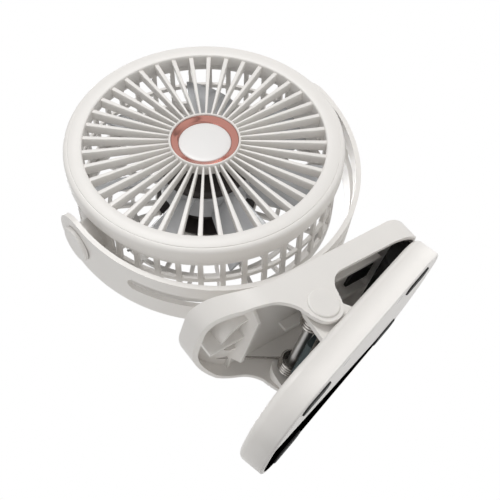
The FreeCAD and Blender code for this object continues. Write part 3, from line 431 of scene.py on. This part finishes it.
def softened(node, name, width, material, body, angle=40.0):
    """A copy of a node's shape, merged and with its sharp edges rounded over."""
    source = frame["nodes"][node]
    piece = source.copy()
    piece.data = source.data.copy()
    for key in list(piece.keys()):
        del piece[key]
    piece.parent = None
    piece.matrix_world = Matrix.Identity(4)
    bpy.context.collection.objects.link(piece)
    piece.name = name
    piece.hide_render = False
    edit(piece)
    bpy.ops.mesh.remove_doubles(threshold=2.0 * MERGE)
    bpy.ops.mesh.dissolve_limited(angle_limit=math.radians(1.5))
    done()
    rounded(piece, width, angle=angle)
    smooth(piece, 30.0)
    finish_with(piece, "WEIGHTED_NORMAL", keep_sharp=True)
    dress(piece, material, body, (node,))


MATERIALS = {}


def material_of(name):
    return MATERIALS[name]


# Operators, one for each piece or group
class FinishesOperator(bpy.types.Operator):
    """Make the materials and give the frame's own nodes theirs"""
    bl_idname = "clipfan.finishes"
    bl_label = "Finishes"

    def execute(self, context):
        colours = context.scene.clipfan_colours
        MATERIALS.update({
            "shell": moulded("White plastic", tuple(colours.shell), 0.40, 1.0, 0.035),
            "cap": moulded("Hub cap plastic", tuple(colours.cap), 0.34, 0.6, 0.03),
            "trim": plated("Rose-gold plating", tuple(colours.trim)),
            "rubber": rubber("Black rubber", tuple(colours.rubber)),
            "slate": rubber("Slate rubber", tuple(colours.slate), 0.6),
            "steel": drawn_steel("Spring steel", tuple(colours.steel)),
            "pin": drawn_steel("Turned steel", tuple(colours.pin), 0.34),
            # The blades' grey-blue colour is painted shade and bluish light.
            "blade": grey_shaded_blades("Blades grey with painted shade", tuple(colours.blade)),
            # The drive's dark colour is partly painted shadow from deep inside the head.
            "dark": moulded("Drive plastic with painted shadow", tuple(colours.dark), 0.5, 1.2, 0.2),
            "board": lacquered_board("Board lacquer"),
            "cell": moulded("Cell wrap", tuple(colours.cell), 0.3, 0.4, 0.08),
            "magnet": drawn_steel("Sintered magnet", tuple(colours.magnet), 0.5),
        })
        # The dark_plastic slot takes the drive colour, which is partly painted shadow.
        # The smoke_plastic slot takes the blades' grey-blue, which is painted shade.
        by_slot = {"white_plastic": "shell", "black_rubber": "rubber", "slate_rubber": "slate",
                   "cell_wrap": "cell", "steel": "pin", "spring_steel": "steel", "dark_plastic": "dark",
                   "rose_gold": "trim", "board": "board", "magnet": "magnet", "smoke_plastic": "blade"}
        slots = {row["node"]: row["material_slot"] for row in frame["record"]["subparts"]}
        for node, piece in frame["nodes"].items():
            piece.data.materials.clear()
            piece.data.materials.append(material_of(by_slot[slots[node]]))
        return {"FINISHED"}


class GrilleOperator(bpy.types.Operator):
    """Front bezel with its rolled edge and groove, the slats and the hub wall"""
    bl_idname = "clipfan.grille"
    bl_label = "Front grille"

    def execute(self, context):
        sizes = context.scene.clipfan_head
        rim, opening, face = sizes.rim_radius, sizes.opening_radius, sizes.face_height
        edge, lip = 2.6 * MM, 1.0 * MM
        groove, inside = rim - 2.6 * MM, rim - 2.9 * MM
        skirt, deep = face - 11.0 * MM, face - 8.0 * MM
        profile = [(opening, face - 1.3 * MM)]
        profile += arc_points((opening + lip, face - lip), lip, 180, 90, 3)
        profile += [(opening + 5.5 * MM, face + 0.25 * MM), (groove - 0.5 * MM, face - 0.35 * MM),
                    (groove - 0.2 * MM, face - 0.75 * MM), (groove + 0.25 * MM, face - 0.75 * MM)]
        profile += arc_points((rim - edge, face - 3.4 * MM), edge, 62, 0, 5)
        profile += [(rim, skirt + 0.8 * MM), (rim - 0.5 * MM, skirt), (inside, skirt),
                    (inside, face - 5.0 * MM), (opening + 3.0 * MM, face - 4.2 * MM),
                    (opening + 2.6 * MM, deep), (opening, deep)]
        bezel = turned("bezel", profile, 160)
        hub, wall, floor = sizes.hub_radius, 1.3 * MM, 1.6 * MM
        bore = 4.0 * MM
        hub_profile = [(hub, face - 1.0 * MM)]
        hub_profile += arc_points((hub + wall / 2, face - 1.0 * MM), wall / 2, 180, 0, 4)[1:]
        hub_profile += [(hub + wall, deep), (bore, deep), (bore, deep + floor), (hub, deep + floor)]
        hub_wall = turned("hub_wall", hub_profile, 96)
        bar = self.slat(sizes, hub + wall * 0.4, opening + 1.4 * MM)
        slats = ring_of(bar, sizes.slat_count, sizes.slat_phase)
        smooth(bezel, 32.0)
        smooth(hub_wall, 32.0)
        grille = joined("front_grille_skin", [bezel, hub_wall] + slats)
        settled_in(grille, HEAD)
        dress(grille, material_of("shell"), "head", ("front_grille",))
        return {"FINISHED"}

    def slat(self, sizes, inner, outer):
        """One bar, wider and taller towards the rim, with a rounded back."""
        top = sizes.face_height - 1.4 * MM
        deep, slim, wide = 5.0 * MM, 1.25 * MM, 3.0 * MM
        middle = (inner + outer) / 2
        settle()
        bpy.ops.mesh.primitive_cube_add(size=1.0, location=(middle, 0, top - deep / 2),
                                        scale=(outer - inner, slim, deep))
        bpy.ops.object.transform_apply(location=True, scale=True)
        bar = bpy.context.object
        pick(bar, lambda at, way: way.x > 0.9)
        bpy.ops.transform.resize(value=(1.0, wide / slim, 1.28), center_override=(outer, 0, top))
        pick(bar, lambda at, way: way.z < -0.5)
        bpy.ops.transform.resize(value=(1.0, 0.72, 1.0), center_override=(middle, 0, top - deep))
        pick(bar, lambda at, way: way.z > 0.9)
        bpy.ops.mesh.bevel(offset=0.5 * MM, segments=3, affect="EDGES")
        done()
        return smooth(bar, 40.0)


class TrimOperator(bpy.types.Operator):
    """Rose-gold dished ring and the white cap in the middle of the grille"""
    bl_idname = "clipfan.trim"
    bl_label = "Hub trim"

    def execute(self, context):
        sizes = context.scene.clipfan_head
        face, hub = sizes.face_height, sizes.hub_radius
        inner = 15.6 * MM
        profile = [(hub - 0.02 * MM, face - 1.9 * MM), (hub - 0.1 * MM, face - 1.35 * MM),
                   (hub - 0.45 * MM, face - 1.15 * MM), (hub - 1.0 * MM, face - 1.4 * MM),
                   (hub - 2.2 * MM, face - 2.15 * MM), (hub - 3.4 * MM, face - 2.7 * MM),
                   (inner + 0.3 * MM, face - 3.05 * MM), (inner, face - 3.35 * MM),
                   (inner, face - 4.2 * MM), (hub - 0.02 * MM, face - 3.4 * MM)]
        ring = smooth(turned("hub_trim_skin", profile, 128), 50.0)
        settled_in(ring, HEAD)
        dress(ring, material_of("trim"), "head", ("hub_trim_ring",))
        top, foot = face - 3.2 * MM, face - 6.4 * MM
        underside = top - 2.4 * MM
        radius, stem, edge = 15.5 * MM, 6.0 * MM, 0.6 * MM
        outline = [(0.0, top + 0.25 * MM), (stem, top + 0.2 * MM), (12.0 * MM, top + 0.06 * MM)]
        outline += arc_points((radius - edge, top - edge), edge, 85, 0, 4)
        outline += [(radius, underside), (stem, underside), (stem, foot), (0.0, foot)]
        cap = smooth(turned("hub_cap_skin", outline, 96), 30.0)
        closed(cap)
        settled_in(cap, HEAD)
        dress(cap, material_of("cap"), "head", ("hub_cap",))
        return {"FINISHED"}


class HousingOperator(bpy.types.Operator):
    """Side wall of the head with its two rows of windows and the pivot bosses"""
    bl_idname = "clipfan.housing"
    bl_label = "Side wall"

    def execute(self, context):
        sizes = context.scene.clipfan_head
        wall = self.wall(sizes)
        bosses = [self.boss(side) for side in (1, -1)]
        housing = joined("head_housing_skin", [wall] + bosses)
        settled_in(housing, HEAD)
        dress(housing, material_of("shell"), "head", ("head_housing",))
        return {"FINISHED"}

    def wall(self, sizes):
        """A thin drum, cut across at each row's edges, with the windows taken out."""
        back, front = -24.0 * MM, 24.0 * MM
        rows = ((-17.0 * MM, -4.0 * MM), (-1.0 * MM, 12.0 * MM))
        radius = 79.6 * MM
        slices = 4
        pitch = TAU / sizes.window_count
        settle()
        bpy.ops.mesh.primitive_cylinder_add(vertices=slices * sizes.window_count, radius=radius,
                                            depth=front - back, end_fill_type="NOTHING",
                                            location=(0, 0, (front + back) / 2))
        wall = bpy.context.object
        wall.rotation_euler.z = sizes.slat_phase + pitch / (2 * slices)
        bpy.ops.object.transform_apply(location=True, rotation=True)
        bpy.ops.object.mode_set(mode="EDIT")
        for height in rows[0] + rows[1]:
            bpy.ops.mesh.select_all(action="SELECT")
            bpy.ops.mesh.bisect(plane_co=(0, 0, height), plane_no=(0, 0, 1))
        done()
        spared = math.radians(11.6)
        bar = 0.13

        def is_window(at, way):
            angle = math.atan2(at.y, at.x)
            turn = (angle - sizes.slat_phase) / pitch % 1.0
            near_pivot = min(angle % math.pi, math.pi - angle % math.pi) < spared
            in_row = any(low < at.z < high for low, high in rows)
            return in_row and bar < turn < 1.0 - bar and not near_pivot

        pick(wall, is_window)
        bpy.ops.mesh.delete(type="FACE")
        done()
        closed(wall)
        finish_with(wall, "SOLIDIFY", thickness=2.4 * MM, offset=-1.0)
        rounded(wall, 0.4 * MM, 2, 50.0)
        return smooth(wall, 30.0)

    def boss(self, side):
        """The round boss that a pivot pin sits in."""
        settle()
        radius, depth, middle = 10.0 * MM, 8.7 * MM, 82.05 * MM
        bpy.ops.mesh.primitive_cylinder_add(vertices=64, radius=radius, depth=depth,
                                            location=(side * middle, 0, 0), rotation=(0, math.pi / 2, 0))
        boss = bpy.context.object
        bpy.ops.object.transform_apply(location=True, rotation=True)
        pick(boss, lambda at, way: way.x * side > 0.9)
        bpy.ops.mesh.inset(thickness=0.9 * MM)
        done()
        rounded(boss, 0.5 * MM, 2, 50.0)
        return smooth(boss, 30.0)


class BladesOperator(bpy.types.Operator):
    """Twisted, cambered blades on their sleeve"""
    bl_idname = "clipfan.blades"
    bl_label = "Blades"

    def execute(self, context):
        sizes = context.scene.clipfan_head
        blade = self.blade()
        finish_with(blade, "SOLIDIFY", thickness=1.5 * MM, offset=0.0)
        rounded(blade, 0.5 * MM, 2, 50.0)
        smooth(blade, 40.0)
        blades = ring_of(blade, sizes.blade_count)
        bore, outside, low, top = 27.05 * MM, 28.6 * MM, -9.0 * MM, 6.0 * MM
        sleeve = turned("sleeve", [(bore, low), (outside, low), (outside, top - 0.6 * MM),
                                   (outside - 0.5 * MM, top), (bore, top)], 96)
        smooth(sleeve, 30.0)
        fan = joined("fan_blades_skin", [sleeve] + blades)
        settled_in(fan, HEAD)
        dress(fan, material_of("blade"), "rotor", ("fan_blades",))
        return {"FINISHED"}

    def blade(self):
        """A cambered edge at the root, drawn outwards in steps that widen it and take out its pitch."""
        root, length, stations = 27.6 * MM, 41.8 * MM, 10
        chord, camber, pitch, untwist = 22.0 * MM, 1.8 * MM, 42.0, 14.0
        widening = 12.0 * MM / chord / stations
        across = [k / 4.0 - 1.0 for k in range(9)]
        blade = outlined([(root, share * chord / 2, camber * (1.0 - share * share)) for share in across])
        bpy.ops.transform.rotate(value=-math.radians(pitch), orient_axis="X", center_override=(root, 0, 0))
        for k in range(stations):
            bpy.ops.mesh.extrude_region_move(TRANSFORM_OT_translate={"value": (length / stations, 0, 0)})
            grown = 1.0 + widening / (1.0 + widening * k)
            at = (root + length * (k + 1) / stations, 0, 0)
            bpy.ops.transform.resize(value=(1.0, grown, grown), center_override=at)
            bpy.ops.transform.rotate(value=math.radians(untwist / stations), orient_axis="X",
                                     center_override=at)
        done()
        return closed(blade)


class CapsOperator(bpy.types.Operator):
    """Round covers over the yoke pivots and the clip's hinge"""
    bl_idname = "clipfan.caps"
    bl_label = "Round covers"

    def execute(self, context):
        covers = [self.cover(11.0, 90.5, 2.6, side, "Y") for side in (1, -1)]
        caps = joined("pivot_caps_skin", covers)
        settled_in(caps, YOKE)
        dress(caps, material_of("shell"), "yoke", ("pivot_caps",))
        covers = [self.cover(8.9, 37.0, 1.2, side, "X", 5.0) for side in (1, -1)]
        caps = joined("hinge_caps_skin", covers)
        settled_in(caps, JAW)
        dress(caps, material_of("shell"), "upper_jaw", ("hinge_caps",))
        return {"FINISHED"}

    def cover(self, radius, seat, proud, side, axis, plug=0.0):
        """A low disc with a rolled edge and a shallow dish."""
        r, z0, z1 = radius * MM, seat * MM, (seat + proud) * MM
        edge = 0.9 * MM
        profile = [(0.0, z1 - 0.15 * MM), (r * 0.55, z1 - 0.12 * MM), (r - 2.2 * MM, z1 - 0.02 * MM)]
        profile += arc_points((r - edge, z1 - edge), edge, 90, 0, 5)
        profile += [(r, z0 + 0.02 * MM), (plug * MM, z0 + 0.02 * MM)]
        if plug:
            profile += [(plug * MM, z0 - 1.9 * MM), (0.0, z0 - 1.9 * MM)]
        cover = smooth(closed(turned("cover", profile, 64)), 30.0)
        cover.matrix_world = Matrix.Rotation(side * math.pi / 2, 4, axis)
        take(cover)
        bpy.ops.object.transform_apply(rotation=True)
        return cover


class SpringsOperator(bpy.types.Operator):
    """Two torsion springs, each one wire with its hook, upper arm, coil and lower arm, set in place at the clip's
    hinge
    """
    bl_idname = "clipfan.springs"
    bl_label = "Springs"

    def execute(self, context):
        for side, name in ((-1, "spring_near"), (1, "spring_far")):
            points = self.route(side)
            curve = bpy.data.curves.new(name + "_skin", "CURVE")
            curve.dimensions = "3D"
            spline = curve.splines.new("POLY")
            spline.points.add(len(points) - 1)
            for point, at in zip(spline.points, points):
                point.co = (*at, 1.0)
            curve.bevel_depth = 0.8 * MM
            curve.bevel_resolution = 4
            curve.use_fill_caps = True
            wire = bpy.data.objects.new(name + "_skin", curve)
            bpy.context.collection.objects.link(wire)
            take(wire)
            bpy.ops.object.convert(target="MESH")
            wire = bpy.context.object
            smooth(wire, 50.0)
            settled_in(wire, JAW)
            stand_in(wire, material_of("steel"), (name,))
            foot = (JAW @ points[-2] - HINGE) * Vector((1, 0, 1))
            foot.normalize()
            tuple(HINGE + foot * 5.4 * MM)
            tuple(HINGE + foot * 1.5 * MM)
            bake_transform(wire)
        return {"FINISHED"}

    def route(self, side):
        """The middle line of one wire: hook, upper arm, coil and lower arm."""
        radius, turns, pitch, middle = 6.3 * MM, 4, 2.1 * MM, 22.5 * MM
        upper_arm, hook, lower_arm = 44.0 * MM, 4.2 * MM, 36.0 * MM
        first = math.radians(64.5)
        total = TAU * turns + first + math.radians(69.5)
        start_y = side * (middle + pitch * turns / 2)
        steps = 150
        coil = []
        for k in range(steps + 1):
            turned_by = total * k / steps
            angle = first - turned_by
            y = start_y - side * pitch * turned_by / TAU
            coil.append(Vector((radius * math.cos(angle), y, radius * math.sin(angle))))
        way_in = (coil[0] - coil[1]) * Vector((1, 0, 1))
        way_in.normalize()
        elbow = coil[0] + way_in * upper_arm
        hook_way = Matrix.Rotation(math.radians(33.0), 3, "Y") @ way_in
        bend = [elbow - way_in * 1.6 * MM, elbow - way_in * 0.6 * MM + hook_way * 0.2 * MM,
                elbow - way_in * 0.2 * MM + hook_way * 0.6 * MM, elbow + hook_way * 1.6 * MM]
        way_out = (coil[-1] - coil[-2]) * Vector((1, 0, 1))
        way_out.normalize()
        return [elbow + hook_way * hook] + bend[::-1] + coil + [coil[-1] + way_out * lower_arm]


class ShellsOperator(bpy.types.Operator):
    """Yoke band, upper jaw, base and small parts with their edges rounded over"""
    bl_idname = "clipfan.shells"
    bl_label = "Shells"

    def execute(self, context):
        shell, black, slate = material_of("shell"), material_of("rubber"), material_of("slate")
        softened("yoke_band", "yoke_band_skin", 0.7 * MM, shell, "yoke")
        softened("jaw_shell", "jaw_shell_skin", 0.8 * MM, shell, "upper_jaw")
        softened("base_shell", "base_shell_skin", 0.4 * MM, shell, "base", angle=50.0)
        softened("rear_grille", "rear_grille_skin", 0.35 * MM, shell, "head")
        softened("rubber_feet", "rubber_feet_skin", 0.3 * MM, black, "base")
        softened("base_pad", "base_pad_skin", 0.3 * MM, black, "base")
        softened("throat_pad", "throat_pad_skin", 0.5 * MM, slate, "base")
        return {"FINISHED"}


class StageOperator(bpy.types.Operator):
    """Floor, soft lights, world and the camera at the photographed angle"""
    bl_idname = "clipfan.stage"
    bl_label = "Studio"

    def execute(self, context):
        self.floor()
        self.world(context.scene)
        self.lamp("key", (0.10, -1.05, 0.75), PIVOT, 0.5, 7.6)
        self.lamp("side", (-0.95, 0.05, 0.30), PIVOT, 0.6, 1.5)
        self.lamp("low", (0.45, -0.60, -0.45), HINGE, 0.6, 4.0)
        self.lamp("back", (0.75, 0.95, 0.75), PIVOT, 0.7, 6.0)
        self.camera(context.scene)
        context.scene.view_settings.view_transform = "Standard"
        return {"FINISHED"}

    def floor(self):
        """A pale floor that is seen from above only, and lets light reach what stands on it."""
        settle()
        bpy.ops.mesh.primitive_plane_add(size=6.0, location=(0, 0, 0))
        floor = bpy.context.object
        floor.name = "studio_floor"
        finish = Finish("Studio floor", Roughness=0.9)
        finish.set("Base Color", finish.blend(finish.noise(3.0), (0.88, 0.88, 0.87), (0.90, 0.90, 0.89)))
        close_by = 20.0 * MM
        below = finish.node("ShaderNodeNewGeometry", {}, {}, "Backfacing")
        near = finish.node("ShaderNodeLightPath", {}, {}, "Ray Length") < close_by
        clear = finish.node("ShaderNodeBsdfTransparent", {}, {})
        solid = Value(finish, finish.shader.outputs[0])
        mask = finish.node("ShaderNodeMath", {"operation": "MAXIMUM"}, {0: below, 1: near})
        mixed = finish.node("ShaderNodeMixShader", {}, {0: mask, 1: solid, 2: clear})
        finish.link(finish.output.inputs["Surface"], mixed)
        floor.data.materials.append(finish.material)

    def world(self, scene):
        """White to the eye and in reflections, and dimmer as a light on matt surfaces."""
        fill, seen_level = 0.32, 1.0
        world = bpy.data.worlds.new("Studio world")
        world.use_nodes = True
        scene.world = world
        tree = world.node_tree
        background = tree.nodes["Background"]
        background.inputs["Color"].default_value = (1.0, 1.0, 1.0, 1.0)
        path = tree.nodes.new("ShaderNodeLightPath")
        seen = path.outputs["Is Camera Ray"]
        for ray in ("Is Glossy Ray", "Is Transmission Ray"):
            either = tree.nodes.new("ShaderNodeMath")
            either.operation = "MAXIMUM"
            tree.links.new(seen, either.inputs[0])
            tree.links.new(path.outputs[ray], either.inputs[1])
            seen = either.outputs[0]
        level = tree.nodes.new("ShaderNodeMix")
        level.data_type = "FLOAT"
        level.inputs[2].default_value = fill
        level.inputs[3].default_value = seen_level
        tree.links.new(seen, level.inputs[0])
        tree.links.new(level.outputs[0], background.inputs["Strength"])

    def lamp(self, name, at, aim, size, power):
        settle()
        bpy.ops.object.light_add(type="AREA", location=at)
        lamp = bpy.context.object
        lamp.name = "studio_" + name
        lamp.data.shape = "DISK"
        lamp.data.size = size
        lamp.data.energy = power
        lamp.visible_camera = False
        lamp.rotation_euler = (Vector(aim) - Vector(at)).to_track_quat("-Z", "Y").to_euler()

    def camera(self, scene):
        """The photograph was taken from just under the level of the base, rolled to one side."""
        settle()
        away = Vector((0.6207, 0.7504, 0.2272)).normalized()
        roll, sensor, focal_ratio = math.radians(52.68), 36.0, 1.8
        bpy.ops.object.camera_add(location=PIVOT + Vector((-0.3501, -0.3889, -0.1740)))
        camera = bpy.context.object
        level = away.to_track_quat("-Z", "Y").to_matrix()
        camera.rotation_euler = (level @ Matrix.Rotation(-roll, 3, "Z")).to_euler()
        camera.data.sensor_width = sensor
        camera.data.lens = sensor * focal_ratio
        camera.data.clip_start = 0.01
        scene.camera = camera


OPERATORS = (FinishesOperator, GrilleOperator, TrimOperator, HousingOperator, BladesOperator, CapsOperator,
             SpringsOperator, ShellsOperator, StageOperator)


class ClipFanPanel(bpy.types.Panel):
    """The steps that build the fan, in order"""
    bl_label = "Clip fan"
    bl_idname = "CLIPFAN_PT_steps"
    bl_space_type = "VIEW_3D"
    bl_region_type = "UI"
    bl_category = "Clip fan"

    def draw(self, context):
        for operator in OPERATORS:
            self.layout.operator(operator.bl_idname)


CLASSES = (HeadSizes, Colours) + OPERATORS + (ClipFanPanel,)


def register():
    for cls in CLASSES:
        bpy.utils.register_class(cls)
    bpy.types.Scene.clipfan_head = PointerProperty(type=HeadSizes)
    bpy.types.Scene.clipfan_colours = PointerProperty(type=Colours)


def unregister():
    del bpy.types.Scene.clipfan_colours
    del bpy.types.Scene.clipfan_head
    for cls in reversed(CLASSES):
        bpy.utils.unregister_class(cls)


def main():
    register()
    bpy.ops.clipfan.finishes()
    bpy.ops.clipfan.grille()
    bpy.ops.clipfan.trim()
    bpy.ops.clipfan.housing()
    bpy.ops.clipfan.blades()
    bpy.ops.clipfan.caps()
    bpy.ops.clipfan.springs()
    bpy.ops.clipfan.shells()
    bpy.ops.clipfan.stage()


if __name__ == "__main__":
    main()
